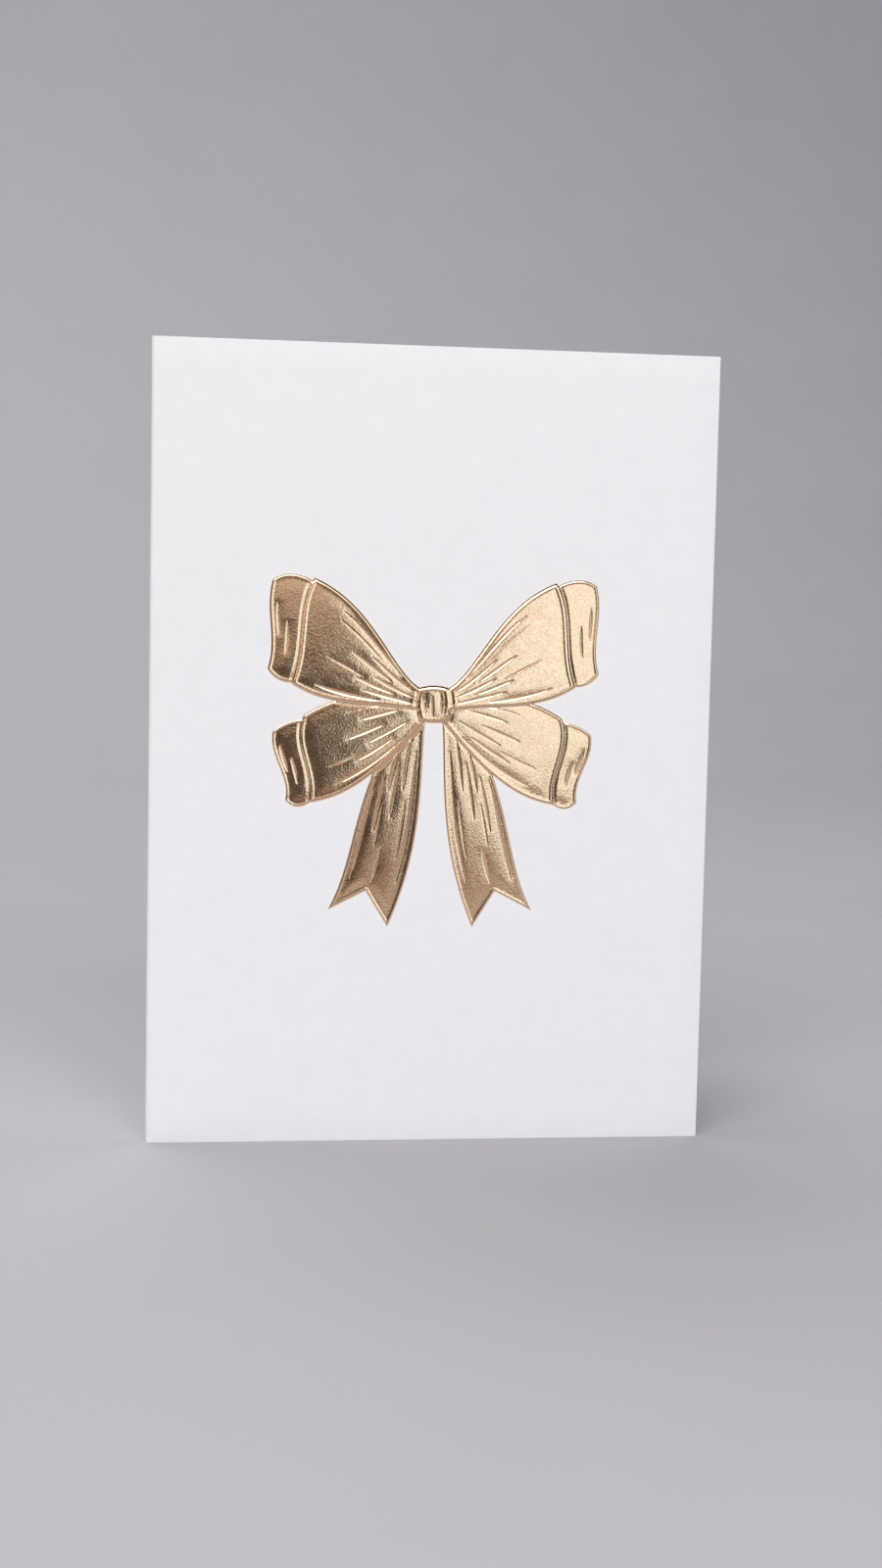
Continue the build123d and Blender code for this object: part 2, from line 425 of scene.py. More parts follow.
def bow_ribbons() -> list[Ribbon]:
    """The bow's layers with their levels, outlines and folds.

    Returns:
        The ribbons from the lowest to the highest.
    """
    mouth_folds = folds_at((0.18, 0.22, 0.62), (0.38, 0.42, 0.80))
    return [
        Ribbon(
            Layer.LOWER_MOUTH, 0.15,
            (LOWER_MOUTH_TOP, LOWER_MOUTH_SIDE, LOWER_MOUTH_LIP, LOWER_MOUTH_BACK),
            LOWER_MOUTH_SIDE, LOWER_MOUTH_BACK, mouth_folds,
        ),
        Ribbon(
            Layer.TAIL, 0.18,
            (TAIL_INNER, TAIL_NOTCH_IN, TAIL_NOTCH_OUT, TAIL_OUTER, TAIL_NECK),
            TAIL_INNER, TAIL_OUTER,
            folds_at(
                (0.14, 0.24, 0.84), (0.32, 0.14, 0.42), (0.46, 0.26, 0.54), (0.58, 0.16, 0.40),
                (0.70, 0.30, 0.58), (0.52, 0.66, 0.84), (0.87, 0.30, 0.82),
            ) + creases_at((0.24, 0.46, 0.74), (0.62, 0.44, 0.66)),
        ),
        Ribbon(
            Layer.UPPER_MOUTH, 0.22,
            (UPPER_MOUTH_TOP, UPPER_MOUTH_SIDE, UPPER_MOUTH_LIP, UPPER_MOUTH_BACK),
            UPPER_MOUTH_SIDE, UPPER_MOUTH_BACK, mouth_folds,
        ),
        Ribbon(
            Layer.LOWER_LOOP, 0.26, (LOWER_TOP, LOWER_END, LOWER_FOOT, LOWER_NECK),
            LOWER_TOP, LOWER_FOOT,
            folds_at(
                (0.30, 0.20, 0.56), (0.46, 0.34, 0.68), (0.60, 0.14, 0.52), (0.74, 0.26, 0.62),
                (0.88, 0.18, 0.80),
            ) + creases_at((0.17, 0.34, 0.66), (0.67, 0.52, 0.84)),
        ),
        Ribbon(
            Layer.UPPER_LOOP, 0.36, (UPPER_TOP, UPPER_END, UPPER_FOOT, UPPER_NECK),
            UPPER_TOP, UPPER_FOOT,
            folds_at(
                (0.13, 0.22, 0.80), (0.30, 0.10, 0.52), (0.42, 0.30, 0.66), (0.53, 0.09, 0.46),
                (0.66, 0.24, 0.58), (0.78, 0.10, 0.50), (0.90, 0.34, 0.84),
            ) + creases_at((0.22, 0.44, 0.80), (0.60, 0.50, 0.82)),
        ),
        Ribbon(
            Layer.KNOT, 0.46, (KNOT_TOP, KNOT_RIGHT, KNOT_FOOT, KNOT_LEFT),
            KNOT_RIGHT, KNOT_LEFT,
            folds_at((0.30, 0.12, 0.80), (0.56, 0.22, 0.90), (0.80, 0.14, 0.66)),
        ),
    ]


class SpacedPoints:
    """Points on a plane that keep clear of each other; those that come first stay."""

    def __init__(self, cell: float) -> None:
        """Starts an empty set.

        Args:
            cell: side of a search cell, at least the widest spacing asked for.
        """
        self.cell = cell
        self.points: list[tuple[float, float]] = []
        self.cells: dict[tuple[int, int], list[int]] = {}

    def add(self, points: np.ndarray, spacing: float) -> list[int]:
        """Adds each point that no earlier point is too near to.

        Args:
            points: rows of x and y.
            spacing: least distance to any earlier point.

        Returns:
            For each point, its index, or that of the earlier point that stands for it.
        """
        indices = []
        for x, y in points.tolist():
            home = (math.floor(x / self.cell), math.floor(y / self.cell))
            nearest = -1
            least = spacing * spacing
            for i in (-1, 0, 1):
                for j in (-1, 0, 1):
                    for k in self.cells.get((home[0] + i, home[1] + j), ()):
                        px, py = self.points[k]
                        gap = (px - x) ** 2 + (py - y) ** 2
                        if gap < least:
                            least = gap
                            nearest = k
            if nearest < 0:
                nearest = len(self.points)
                self.points.append((x, y))
                self.cells.setdefault(home, []).append(nearest)
            indices.append(nearest)
        return indices


@dataclass
class BowRelief:
    """The embossed bow as a height above the card's face, and the points that draw it, in millimetres."""

    ribbons: list[Ribbon] = field(default_factory=bow_ribbons)
    foot_dip: float = 0.02
    foot_run: float = 0.8
    overlap_dip: float = 0.06
    overlap_run: float = 0.55
    reverse_rim_run: float = 0.62
    # Rows of points beside each outline: up the wall, over the lip, and in the dip outside.
    wall_shares: tuple[float, ...] = (0.2, 0.42, 0.68, 1.0)
    lip_shares: tuple[float, ...] = (0.25, 0.5, 0.75, 1.0)
    outer_rows: tuple[float, ...] = (-0.1, -0.22, -0.38, -0.58, -0.85)
    reverse_rows: tuple[float, ...] = (0.14, 0.28, 0.44, 0.62, 0.85, -0.12, -0.4, -1.0)
    # Least distances of points on outlines, rows and folds from those before them.
    outline_spacing: float = 0.04
    row_spacing: float = 0.06
    reverse_row_spacing: float = 0.1
    fold_spacing: float = 0.09
    # Steps of the even field between them, and the share of a step that it keeps clear of them.
    front_grid: float = 0.46
    reverse_grid: float = 1.1
    grid_clear_share: float = 0.62
    search_cell: float = 1.2
    # Fold points keep this far inside their ribbon, and all rows this far clear of a ribbon that hides them.
    fold_inset: float = 0.1
    hidden_margin: float = 0.03

    def folded_side(self, points: np.ndarray, ribbon: Ribbon) -> np.ndarray:
        """Points as a ribbon sees them.

        Args:
            points: rows of x and y from the knot's centre.
            ribbon: a pair, which has one outline for both halves of the bow, or the knot.

        Returns:
            The points, those of the left half turned over to the right for a pair.
        """
        if len(ribbon.sides) == 1:
            return points
        return np.column_stack((np.abs(points[:, 0]), points[:, 1]))

    def covers(self, points: np.ndarray) -> np.ndarray:
        """Tells which points lie under any ribbon.

        Args:
            points: rows of x and y from the knot's centre.

        Returns:
            True for each point under a ribbon.
        """
        covered = np.zeros(len(points), bool)
        for ribbon in self.ribbons:
            covered |= ribbon.contains(self.folded_side(points, ribbon))
        return covered

    def clear_of(self, ribbons: list[Ribbon], points: np.ndarray, margin: float) -> np.ndarray:
        """Tells which points lie clear of some ribbons.

        Args:
            ribbons: the ribbons to keep clear of.
            points: rows of x and y from the knot's centre.
            margin: least distance from their outlines.

        Returns:
            True for each point that is clear of all of them.
        """
        clear = np.ones(len(points), bool)
        for ribbon in ribbons:
            clear &= ribbon.depth_inside(self.folded_side(points, ribbon)) < -margin
        return clear

    def height(self, points: np.ndarray, reverse: bool) -> np.ndarray:
        """Height of the relief above the card's face.

        Args:
            points: rows of x and y from the knot's centre.
            reverse: whether this is the softer copy sunk in the reverse.

        Returns:
            Heights in millimetres, zero away from the bow.
        """
        total = np.zeros(len(points))
        covered = np.zeros(len(points), bool)
        nearest = np.full(len(points), -np.inf)
        for ribbon in self.ribbons:
            local = self.folded_side(points, ribbon)
            inside = ribbon.depth_inside(local)
            nearest = np.maximum(nearest, inside)
            on = inside > 0
            beside = covered & ~on & (inside > -self.overlap_run)
            if not reverse:
                total[beside] -= self.dip(-inside[beside] / self.overlap_run, self.overlap_dip)
            crown = ribbon.crown(local[on], inside[on], not reverse)
            run = self.reverse_rim_run if reverse else ribbon.wall_run
            rise = np.clip(inside[on] / run, 0.0, 1.0)
            shoulder = ramp(rise) if reverse else np.sin(rise * math.pi / 2)
            total[on] += (crown - total[on]) * shoulder
            covered |= on
        outside = nearest <= 0
        total[outside] -= self.dip(-nearest[outside] / self.foot_run, self.foot_dip)
        return total

    def dip(self, reach: np.ndarray, depth: float) -> np.ndarray:
        """Shallow dip beside a wall, where the die has pulled the sheet down.

        Args:
            reach: distance from the wall as a share of the dip's width.
            depth: deepest point in millimetres.

        Returns:
            Depth at each place.
        """
        t = np.clip(reach, 0.0, 1.0)
        peak_to_one = 27 / 4
        return depth * peak_to_one * t * (1 - t) ** 2

    def drawing_points(self, reverse: bool) -> tuple[np.ndarray, list[tuple[int, int]]]:
        """Points that follow every rim and fold, and the outline runs that must stay edges.

        Args:
            reverse: whether the points are for the softer reverse, which has no folds.

        Returns:
            Rows of x and y, and pairs of indices into them.
        """
        spaced = SpacedPoints(self.search_cell)
        runs = self.add_outlines(spaced)
        self.add_rows(spaced, reverse)
        if not reverse:
            self.add_folds(spaced)
        grid = self.reverse_grid if reverse else self.front_grid
        spaced.add(self.field_points(grid), self.grid_clear_share * grid)
        return np.array(spaced.points), runs

    def add_outlines(self, spaced: SpacedPoints) -> list[tuple[int, int]]:
        """Adds the points of every outline.

        Args:
            spaced: the set that they are added to.

        Returns:
            Pairs of indices, one for each run of an outline that shows.
        """
        runs = []
        for side in (1.0, -1.0):
            for rank, ribbon in enumerate(self.ribbons):
                if side not in ribbon.sides:
                    continue
                loop = ribbon.loop * (side, 1.0)
                seen = self.clear_of(self.ribbons[rank + 1:], loop, 0.0)
                ids = spaced.add(loop, self.outline_spacing)
                for k, index in enumerate(ids):
                    after = (k + 1) % len(ids)
                    if index != ids[after] and (seen[k] or seen[after]):
                        runs.append((index, ids[after]))
        return runs

    def add_rows(self, spaced: SpacedPoints, reverse: bool) -> None:
        """Adds rows of points beside the outlines, the same row of every ribbon before the next.

        Args:
            spaced: the set that they are added to.
            reverse: whether they are for the softer reverse.
        """
        spacing = self.reverse_row_spacing if reverse else self.row_spacing
        for insets in zip(*(self.row_insets(ribbon, reverse) for ribbon in self.ribbons)):
            for rank, inset in enumerate(insets):
                self.add_line(spaced, rank, self.ribbons[rank].offset_row(inset), spacing)

    def add_folds(self, spaced: SpacedPoints) -> None:
        """Adds rows of points along every fold.

        Args:
            spaced: the set that they are added to.
        """
        for rank, ribbon in enumerate(self.ribbons):
            for row in ribbon.fold_rows():
                inner = row[ribbon.depth_inside(row) > self.fold_inset]
                self.add_line(spaced, rank, inner, self.fold_spacing)

    def add_line(self, spaced: SpacedPoints, rank: int, row: np.ndarray, spacing: float) -> None:
        """Adds what shows of a row of points, on each side of the bow where its ribbon lies.

        Args:
            spaced: the set that they are added to.
            rank: place of the row's ribbon in the pile.
            row: rows of x and y, on the right half of the bow.
            spacing: least distance to any earlier point.
        """
        for side in self.ribbons[rank].sides:
            line = row * (side, 1.0)
            spaced.add(line[self.clear_of(self.ribbons[rank + 1:], line, self.hidden_margin)], spacing)

    def row_insets(self, ribbon: Ribbon, reverse: bool) -> list[float]:
        """Insets of the rows of points that draw a ribbon's wall, its lip and the dip outside.

        Args:
            ribbon: the ribbon.
            reverse: whether they are for the softer reverse.

        Returns:
            Distances inside the outline, negative outside.
        """
        if reverse:
            return list(self.reverse_rows)
        wall = [share * ribbon.wall_run for share in self.wall_shares]
        lip = [ribbon.wall_run + share * ribbon.lip_run for share in self.lip_shares]
        return wall + lip + list(self.outer_rows)

    def field_points(self, grid: float) -> np.ndarray:
        """Even triangular pattern of points over the ribbons.

        Args:
            grid: distance between points.

        Returns:
            The points that lie under a ribbon.
        """
        low = np.min([r.loop.min(0) for r in self.ribbons], axis=0)
        high = np.max([r.loop.max(0) for r in self.ribbons], axis=0)
        reach = max(high[0], -low[0])
        columns = np.arange(-reach, reach + grid, grid)
        rows = np.arange(low[1], high[1] + grid, grid * math.sqrt(3) / 2)
        x, y = np.meshgrid(columns, rows)
        x = x + (np.arange(len(rows)) % 2)[:, None] * grid / 2
        points = np.column_stack((x.ravel(), y.ravel()))
        return points[self.covers(points)]


@dataclass
class FoldedSheet:
    """The board: a front leaf, a rounded crease and a back leaf, in millimetres.

    A place on the sheet is given unrolled: u runs from the crease to the front leaf's free edge as x does,
    and on past the crease to the back leaf's free edge; z runs up. The crease is scored on the outside, with
    a bead pushed up on the inside, and the cut edges have a small rounded arris on both faces.
    """

    leaf_width: float
    leaf_height: float
    face_y: float
    thickness: float = 0.50
    opening: float = math.radians(40.0)
    inner_radius: float = 0.35
    score_depth: float = 0.06
    score_run: float = 0.55
    bead_height: float = 0.25
    # Half of the bead's width as a share of the bend.
    bead_half_share: float = 0.42
    # Upright rows of points: steps over the bend, and shares of the score's run on both sides of it.
    bend_columns: int = 16
    score_shares: tuple[float, ...] = (0.25, 0.5, 0.75, 1.0)
    crease_rows: int = 24
    arris: float = 0.07
    arris_turns: tuple[float, ...] = (math.pi / 6, math.pi / 3, math.pi / 2)
    field_step: float = 5.5

    @property
    def bend_u(self) -> float:
        """Where the front leaf ends and the bend begins."""
        return self.inner_radius + self.thickness - self.score_depth - self.leaf_width / 2

    @property
    def bend_turn(self) -> float:
        """Angle that the sheet turns through at the crease."""
        return math.pi - self.opening

    @property
    def bend_length(self) -> float:
        """Unrolled length of the bend, along its outside."""
        return (self.inner_radius + self.thickness) * self.bend_turn

    @property
    def low_u(self) -> float:
        """Unrolled place of the back leaf's free edge."""
        return self.bend_u - self.bend_length - (self.leaf_width / 2 - self.bend_u)

    def place(self, at: np.ndarray, through: float, lift: np.ndarray | float = 0.0) -> np.ndarray:
        """Turns unrolled places into points in the frame.

        Args:
            at: rows of u and z.
            through: 0 on the outside of the sheet, 1 on the inside.
            lift: relief, outward from the sheet.

        Returns:
            Rows of x, y and z in millimetres.
        """
        u, z = at.T
        before = np.clip(u - self.bend_u, 0.0, None)
        after = np.clip(self.bend_u - self.bend_length - u, 0.0, None)
        share = np.clip((self.bend_u - u) / self.bend_length, 0.0, 1.0)
        angle = -math.pi / 2 - share * self.bend_turn
        radius = self.inner_radius + self.thickness * (1 - through)
        channel = self.score_depth * ramp(1 - np.maximum(before, after) / self.score_run)
        bead = self.bead_height * ramp(1 - np.abs(share - 0.5) / self.bead_half_share)
        radius = radius - (1 - through) * channel - through * bead + lift
        centre_y = self.face_y + self.inner_radius + self.thickness
        x = self.bend_u + radius * np.cos(angle) + before + after * math.cos(self.opening)
        y = centre_y + radius * np.sin(angle) + after * math.sin(self.opening)
        return np.column_stack((x, y, z))

    def columns(self) -> np.ndarray:
        """Unrolled places of the upright rows of points across the crease.

        Returns:
            Values of u, from the front leaf to the back leaf.
        """
        bend = self.bend_u - np.linspace(0, 1, self.bend_columns + 1) * self.bend_length
        shoulder = np.array(self.score_shares) * self.score_run
        return np.concatenate((self.bend_u + shoulder[::-1], bend, bend[-1] - shoulder))

    def border(self) -> np.ndarray:
        """Closed row of points round the flat faces, just inside the cut edges.

        Returns:
            Rows of u and z, counter-clockwise from the back leaf's lower corner.
        """
        low, high = self.low_u + self.arris, self.leaf_width / 2 - self.arris
        foot, head = self.arris, self.leaf_height - self.arris
        crease = self.columns()
        steps = round((high - crease.max()) / self.field_step)
        front = np.linspace(crease.max(), high, steps + 1)[1:]
        back = np.linspace(low, crease.min(), steps + 1)[:-1]
        across = np.concatenate((back, np.sort(crease), front))
        up = np.linspace(foot, head, round((head - foot) / self.field_step) + 1)[1:-1]
        return np.concatenate((
            np.column_stack((across, np.full(len(across), foot))),
            np.column_stack((np.full(len(up), high), up)),
            np.column_stack((across[::-1], np.full(len(across), head))),
            np.column_stack((np.full(len(up), low), up[::-1])),
        ))

    def cut_rings(self, border: np.ndarray) -> list[np.ndarray]:
        """Rings of points round the cut edges: one rounded arris, then the other.

        Args:
            border: the closed row round the flat faces.

        Returns:
            For each ring from the outside of the sheet to the inside, rows of x, y and z in millimetres.
        """
        low, high = border.min(0), border.max(0)
        outward = np.isclose(border, high).astype(float) - np.isclose(border, low).astype(float)
        arcs = [
            (math.sin(turn), (1 - math.cos(turn)) * self.arris / self.thickness)
            for turn in self.arris_turns
        ]
        arcs += [(reach, 1 - through) for reach, through in reversed(arcs)]
        return [self.place(border + outward * reach * self.arris, through) for reach, through in arcs]


@dataclass
class Skin:
    """One face of the sheet, triangulated: unrolled points, triangles, and the border's indices."""

    points: np.ndarray
    triangles: np.ndarray
    border: np.ndarray


def triangulate(points: np.ndarray, runs: list[tuple[int, int]], border_count: int) -> Skin:
    """Joins points into triangles that keep the given runs as edges.

    Args:
        points: rows of u and z, the border's first.
        runs: pairs of indices that must stay edges.
        border_count: how many points the border has.

    Returns:
        The triangulated skin, each triangle counter-clockwise.
    """
    made = delaunay_2d_cdt([Vector(p) for p in points], runs, [], 0, MERGE_DISTANCE)
    verts = np.array([v[:] for v in made[0]])
    triangles = np.array([f for f in made[2] if len(f) == 3], int)
    new_index = {source: index for index, sources in enumerate(made[3]) for source in sources}
    a, b, c = (verts[triangles[:, i]] for i in range(3))
    area = (b[:, 0] - a[:, 0]) * (c[:, 1] - a[:, 1]) - (b[:, 1] - a[:, 1]) * (c[:, 0] - a[:, 0])
    triangles[area < 0] = triangles[area < 0][:, ::-1]
    triangles = triangles[np.abs(area) > SLIVER_AREA]
    # The triangulation lists its triangles in an order that can change from run to run, so they are sorted.
    first = triangles.argmin(axis=1)
    rows = np.arange(len(triangles))
    triangles = np.column_stack([triangles[rows, (first + k) % 3] for k in range(3)])
    triangles = triangles[np.lexsort(triangles.T)]
    return Skin(verts, triangles, np.array([new_index[i] for i in range(border_count)]))


def band(first: np.ndarray, second: np.ndarray) -> np.ndarray:
    """Triangles between two closed rings.

    Args:
        first: indices of one ring's points in order.
        second: as many indices for the other ring.

    Returns:
        Rows of three indices.
    """
    a, b = first, np.roll(first, -1)
    c, d = second, np.roll(second, -1)
    return np.concatenate((np.column_stack((a, c, b)), np.column_stack((b, c, d))))


def add_object(name: str, data: bpy.types.ID) -> bpy.types.Object:
    """Makes an object from a mesh, a lamp or a camera.

    Args:
        name: the object's name.
        data: what it shows.

    Returns:
        The object, linked to the scene.
    """
    made = bpy.data.objects.new(name, data)
    bpy.context.scene.collection.objects.link(made)
    return made


def mesh_object(name: str, points_mm: np.ndarray, triangles: np.ndarray) -> bpy.types.Object:
    """Makes a smooth-shaded mesh object.

    Args:
        name: the object's name.
        points_mm: rows of x, y and z in millimetres.
        triangles: rows of three indices.

    Returns:
        The object, linked to the scene.
    """
    mesh = bpy.data.meshes.new(name)
    mesh.from_pydata((points_mm * MM).tolist(), [], triangles.tolist())
    mesh.validate()
    mesh.polygons.foreach_set("use_smooth", [True] * len(mesh.polygons))
    return add_object(name, mesh)


def add_node(
    tree: bpy.types.NodeTree,
    kind: str,
    settings: dict[str, object] | None = None,
    values: dict[str | int, object] | None = None,
    links: dict[str | int, bpy.types.NodeSocket] | None = None,
) -> bpy.types.Node:
    """Adds one node with its settings, its own values and what feeds it.

    Args:
        tree: the node tree.
        kind: Blender's name for the node.
        settings: the node's own options.
        values: constants set on its sockets.
        links: sockets that feed its inputs.

    Returns:
        The node.
    """
    node = tree.nodes.new(kind)
    for name, value in (settings or {}).items():
        setattr(node, name, value)
    for name, value in (values or {}).items():
        node.inputs[name].default_value = value
    for name, socket in (links or {}).items():
        tree.links.new(socket, node.inputs[name])
    return node


def new_material(name: str) -> tuple[bpy.types.Material, bpy.types.NodeTree, bpy.types.NodeSocket]:
    """Starts a material without a surface.

    Args:
        name: the material's name.

    Returns:
        The material, its node tree, and the socket that gives places in the object's own metres.
    """
    material = bpy.data.materials.new(name)
    material.use_nodes = True
    tree = material.node_tree
    tree.nodes.clear()
    return material, tree, add_node(tree, "ShaderNodeTexCoord").outputs["Object"]


def per_metre(millimetres: float) -> float:
    """Noise scale that gives features of a real size."""
    return 1.0 / (millimetres * MM)


@dataclass(frozen=True)
class Relief:
    """Fine relief of a surface: the pattern of its height, its depth, and how strongly it shows."""

    height: bpy.types.NodeSocket
    depth_mm: float
    strength: float


def dress(
    tree: bpy.types.NodeTree,
    tones: tuple[str, str],
    share: bpy.types.NodeSocket,
    relief: Relief | None,
    values: dict[str, object],
    links: dict[str, bpy.types.NodeSocket] | None = None,
) -> None:
    """Closes a material with a surface whose colour runs between two tones.

    Args:
        tree: the material's node tree.
        tones: the two colours.
        share: pattern that mixes them.
        relief: its fine relief, or None where it has none to see.
        values: constants of the surface.
        links: further patterns that feed it.
    """
    tint = add_node(
        tree, "ShaderNodeMix", {"data_type": "RGBA"},
        {MIX_FROM: linear(tones[0]), MIX_TO: linear(tones[1])},
        {MIX_SHARE: share},
    )
    fed = {"Base Color": tint.outputs[MIX_RESULT]} | (links or {})
    if relief is not None:
        bump = add_node(
            tree, "ShaderNodeBump",
            values={"Strength": relief.strength, "Distance": relief.depth_mm * MM},
            links={"Height": relief.height},
        )
        fed["Normal"] = bump.outputs["Normal"]
    surface = add_node(tree, "ShaderNodeBsdfPrincipled", values=values, links=fed)
    add_node(tree, "ShaderNodeOutputMaterial", links={"Surface": surface.outputs["BSDF"]})


@dataclass(frozen=True)
class CalenderedBoard:
    """Smooth white 350 g/m2 board, calendered and uncoated.

    Pressing between rollers leaves it matt and even, with faint clouds where fibres lie thicker and a fine
    tooth.
    """

    colour: str = "#F1F1F3"
    cloud_colour: str = "#ECEBEE"
    cloud_mm: float = 3.0
    # A real tooth is too fine to show at this size, so this one is drawn coarser.
    tooth_mm: float = 0.34
    tooth_depth_mm: float = 0.012
    roughness: float = 0.78

    def material(self) -> bpy.types.Material:
        """Builds the board's material.

        Returns:
            The material.
        """
        material, tree, where = new_material("calendered_board")
        clouds = add_node(
            tree, "ShaderNodeTexNoise",
            values={"Scale": per_metre(self.cloud_mm), "Detail": 3.0, "Roughness": 0.55},
            links={"Vector": where},
        )
        tooth = add_node(
            tree, "ShaderNodeTexNoise",
            values={"Scale": per_metre(self.tooth_mm), "Detail": 2.0, "Roughness": 0.6},
            links={"Vector": where},
        )
        dress(
            tree, (self.colour, self.cloud_colour), clouds.outputs["Fac"],
            Relief(tooth.outputs["Fac"], self.tooth_depth_mm, strength=0.6),
            {"Roughness": self.roughness, "IOR": 1.47, "Specular IOR Level": 0.35},
        )
        return material


@dataclass(frozen=True)
class GuillotinedEdge:
    """Cut edge of the board. The guillotine leaves torn fibre ends in layers, rougher than the faces."""

    colour: str = "#F3F2F3"
    fibre_colour: str = "#E3E1E2"
    # Real layers and fibre ends are too fine to show, so these are drawn coarser.
    layer_mm: float = 0.12
    run_mm: float = 0.9
    depth_mm: float = 0.02
    roughness: float = 0.9

    def material(self) -> bpy.types.Material:
        """Builds the cut edge's material.

        Returns:
            The material.
        """
        material, tree, where = new_material("guillotined_edge")
        stretch = add_node(
            tree, "ShaderNodeMapping",
            values={"Scale": (per_metre(self.layer_mm), per_metre(self.layer_mm), per_metre(self.run_mm))},
            links={"Vector": where},
        )
        fibres = add_node(
            tree, "ShaderNodeTexNoise",
            values={"Scale": 1.0, "Detail": 3.0, "Roughness": 0.6},
            links={"Vector": stretch.outputs["Vector"]},
        )
        dress(
            tree, (self.colour, self.fibre_colour), fibres.outputs["Fac"],
            Relief(fibres.outputs["Fac"], self.depth_mm, strength=0.7),
            {"Roughness": self.roughness, "IOR": 1.47, "Specular IOR Level": 0.25},
        )
        return material


@dataclass(frozen=True)
class HotStampedFoil:
    """Vacuum-metallised film under a champagne-gold lacquer, pressed hot onto the board.

    The board's tooth prints through the thin film, so a satin metal shine breaks into a fine leathery grain.
    """

    colour: str = "#F7DAB8"
    # Painted shade: this darker tone goes into the grain's hollows, and the paler colour above onto its
    # raised points.
    hollow_shade_colour: str = "#E6C09A"
    # A real grain is too fine to show at this size, so this one is drawn coarser.
    grain_mm: float = 0.36
    grain_depth_mm: float = 0.012
    cloud_mm: float = 2.4
    roughness_low: float = 0.10
    roughness_high: float = 0.15

    def material(self) -> bpy.types.Material:
        """Builds the foil's material.

        Returns:
            The material.
        """
        material, tree, where = new_material("hot_stamped_foil")
        clouds = add_node(
            tree, "ShaderNodeTexNoise",
            values={"Scale": per_metre(self.cloud_mm), "Detail": 4.0, "Roughness": 0.6},
            links={"Vector": where},
        )
        grain = add_node(
            tree, "ShaderNodeTexNoise",
            values={"Scale": per_metre(self.grain_mm), "Detail": 1.0, "Roughness": 0.5},
            links={"Vector": where},
        )
        # Painted shade of the grain: its height mixes the two tones, deeper in its hollows and paler on its
        # raised points.
        grain_shading = add_node(
            tree, "ShaderNodeMapRange",
            values={"From Min": 0.32, "From Max": 0.68},
            links={"Value": grain.outputs["Fac"]},
        )
        gloss = add_node(
            tree, "ShaderNodeMapRange",
            values={
                "From Min": 0.3, "From Max": 0.7,
                "To Min": self.roughness_low, "To Max": self.roughness_high,
            },
            links={"Value": clouds.outputs["Fac"]},
        )
        dress(
            tree, (self.hollow_shade_colour, self.colour), grain_shading.outputs["Result"],
            Relief(grain.outputs["Fac"], self.grain_depth_mm, strength=1.0),
            {"Metallic": 1.0},
            {"Roughness": gloss.outputs["Result"]},
        )
        return material


@dataclass(frozen=True)
class PaintedFloor:
    """Matt pale-grey painted boards of a photo studio, one even tone that lets a white card stand out."""

    colour: str = "#BFBFC4"
    cloud_colour: str = "#BABABF"
    cloud_mm: float = 60.0
    roughness: float = 0.9

    def material(self) -> bpy.types.Material:
        """Builds the floor's material.

        Returns:
            The material.
        """
        material, tree, where = new_material("matt_studio_paint")
        clouds = add_node(
            tree, "ShaderNodeTexNoise",
            values={"Scale": per_metre(self.cloud_mm), "Detail": 3.0},
            links={"Vector": where},
        )
        dress(
            tree, (self.colour, self.cloud_colour), clouds.outputs["Fac"], None,
            {"Roughness": self.roughness, "Specular IOR Level": 0.2},
        )
        return material


